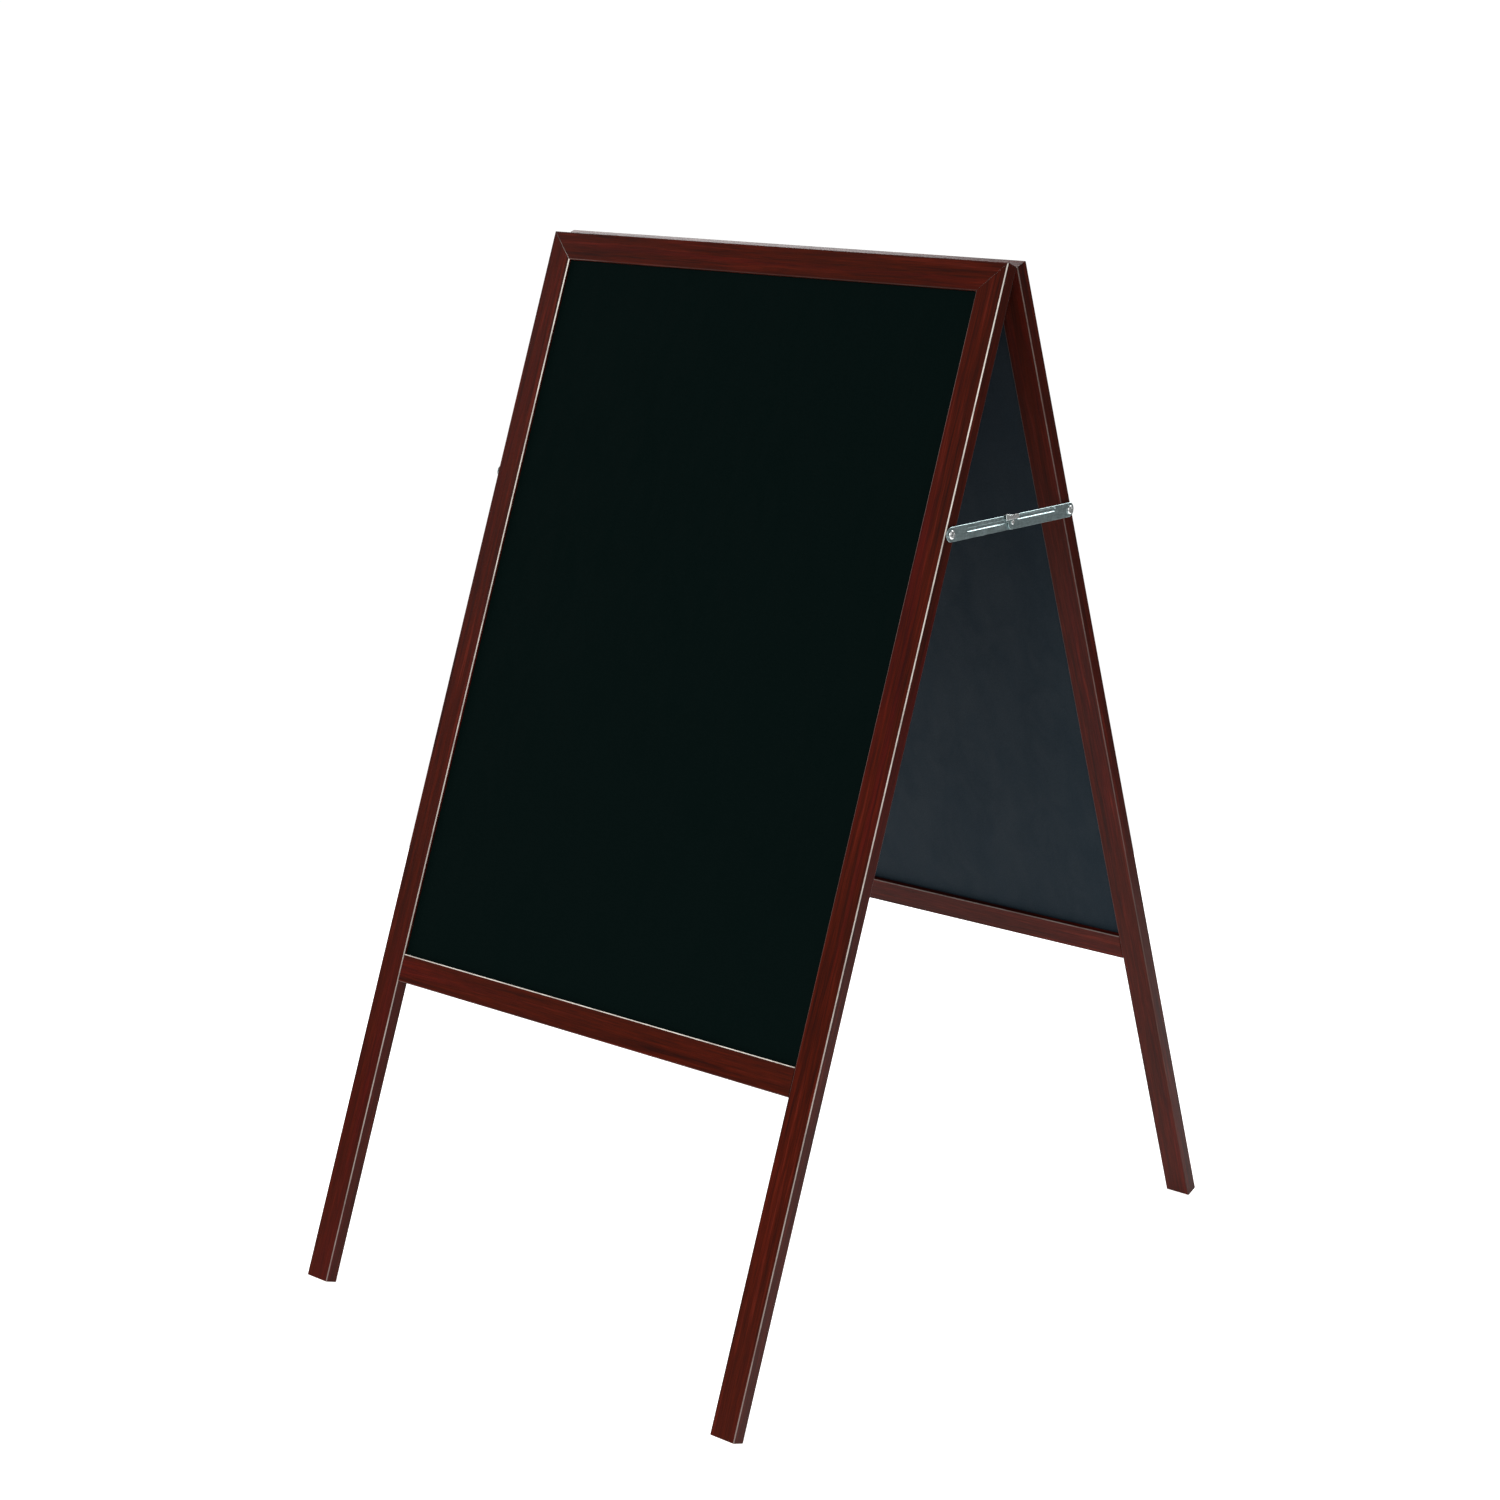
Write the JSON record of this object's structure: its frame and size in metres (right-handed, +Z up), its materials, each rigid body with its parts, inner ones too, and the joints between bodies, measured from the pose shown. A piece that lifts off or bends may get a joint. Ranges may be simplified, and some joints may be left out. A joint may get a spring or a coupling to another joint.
{
  "type": "menu chalkboard easel",
  "caption": "Folding A-frame menu chalkboard with dark wood frames, hinged at the top and held open by a jointed metal stay on each side.",
  "frame": {"origin": "on the floor, under the hinge line and halfway across", "axes": "+X to the right of someone reading the front board, +Y from the front board to the back board, +Z up"},
  "size_m": [0.6208, 0.8492, 1.1133],
  "materials": {
    "mahogany": "mahogany-coloured satin coat with fine streaks, paler along worn arrises",
    "chalkboard": "matt near-black chalkboard paint on hardboard",
    "dowel_wood": "bare beech",
    "zinc": "zinc-plated pressed steel",
    "bright_steel": "bright plated steel"
  },
  "bodies": {
    "front_leaf": {"front_stile_left": "mahogany", "front_stile_right": "mahogany", "front_top_rail": "mahogany", "front_bottom_rail": "mahogany", "front_panel": "chalkboard", "front_dowel_left_1": "dowel_wood", "front_dowel_left_2": "dowel_wood", "front_mitre_key_left": "dowel_wood", "hinge_left_plate_front": "zinc", "hinge_left_screw_front_1": "bright_steel", "hinge_left_screw_front_2": "bright_steel", "stay_left_screw_front": "bright_steel", "stay_left_washer_front": "bright_steel", "front_dowel_right_1": "dowel_wood", "front_dowel_right_2": "dowel_wood", "front_mitre_key_right": "dowel_wood", "hinge_right_plate_front": "zinc", "hinge_right_screw_front_1": "bright_steel", "hinge_right_screw_front_2": "bright_steel", "stay_right_screw_front": "bright_steel", "stay_right_washer_front": "bright_steel", "hinge_left_pin": "bright_steel", "hinge_right_pin": "bright_steel"},
    "back_leaf": {"back_stile_left": "mahogany", "back_stile_right": "mahogany", "back_top_rail": "mahogany", "back_bottom_rail": "mahogany", "back_panel": "chalkboard", "back_dowel_left_1": "dowel_wood", "back_dowel_left_2": "dowel_wood", "back_mitre_key_left": "dowel_wood", "hinge_left_plate_back": "zinc", "hinge_left_screw_back_1": "bright_steel", "hinge_left_screw_back_2": "bright_steel", "stay_left_screw_back": "bright_steel", "stay_left_washer_back": "bright_steel", "back_dowel_right_1": "dowel_wood", "back_dowel_right_2": "dowel_wood", "back_mitre_key_right": "dowel_wood", "hinge_right_plate_back": "zinc", "hinge_right_screw_back_1": "bright_steel", "hinge_right_screw_back_2": "bright_steel", "stay_right_screw_back": "bright_steel", "stay_right_washer_back": "bright_steel"},
    "stay_left_front": {"stay_left_link_front": "zinc", "stay_left_rivet_tail": "bright_steel"},
    "stay_left_back": {"stay_left_link_back": "zinc", "stay_left_rivet_head": "bright_steel", "stay_left_stop_clip": "bright_steel"},
    "stay_right_front": {"stay_right_link_front": "zinc", "stay_right_rivet_tail": "bright_steel"},
    "stay_right_back": {"stay_right_link_back": "zinc", "stay_right_rivet_head": "bright_steel", "stay_right_stop_clip": "bright_steel"}
  },
  "joints": [
    {"name": "fold", "type": "hinge", "parent": "front_leaf", "child": "back_leaf", "pos_m": [0, 0, 1.10762], "axis": [1, 0, 0], "range_deg": [-40.56, 0]},
    {"name": "stay_left_front_swing", "type": "hinge", "parent": "front_leaf", "child": "stay_left_front", "pos_m": [-0.3061, -0.1025, 0.85445], "axis": [1, 0, 0], "range_deg": [0, 65.1]},
    {"name": "stay_left_back_swing", "type": "hinge", "parent": "back_leaf", "child": "stay_left_back", "pos_m": [-0.3076, 0.1025, 0.85445], "axis": [1, 0, 0], "range_deg": [-65.1, 0]},
    {"name": "stay_right_front_swing", "type": "hinge", "parent": "front_leaf", "child": "stay_right_front", "pos_m": [0.3061, -0.1025, 0.85445], "axis": [1, 0, 0], "range_deg": [0, 65.1]},
    {"name": "stay_right_back_swing", "type": "hinge", "parent": "back_leaf", "child": "stay_right_back", "pos_m": [0.3076, 0.1025, 0.85445], "axis": [1, 0, 0], "range_deg": [-65.1, 0]}
  ],
  "couplings": [
    {"joint": "stay_left_front_swing", "follows": "fold", "ratio": -1.603},
    {"joint": "stay_left_back_swing", "follows": "fold", "ratio": 1.603},
    {"joint": "stay_right_front_swing", "follows": "fold", "ratio": -1.603},
    {"joint": "stay_right_back_swing", "follows": "fold", "ratio": 1.603}
  ]
}
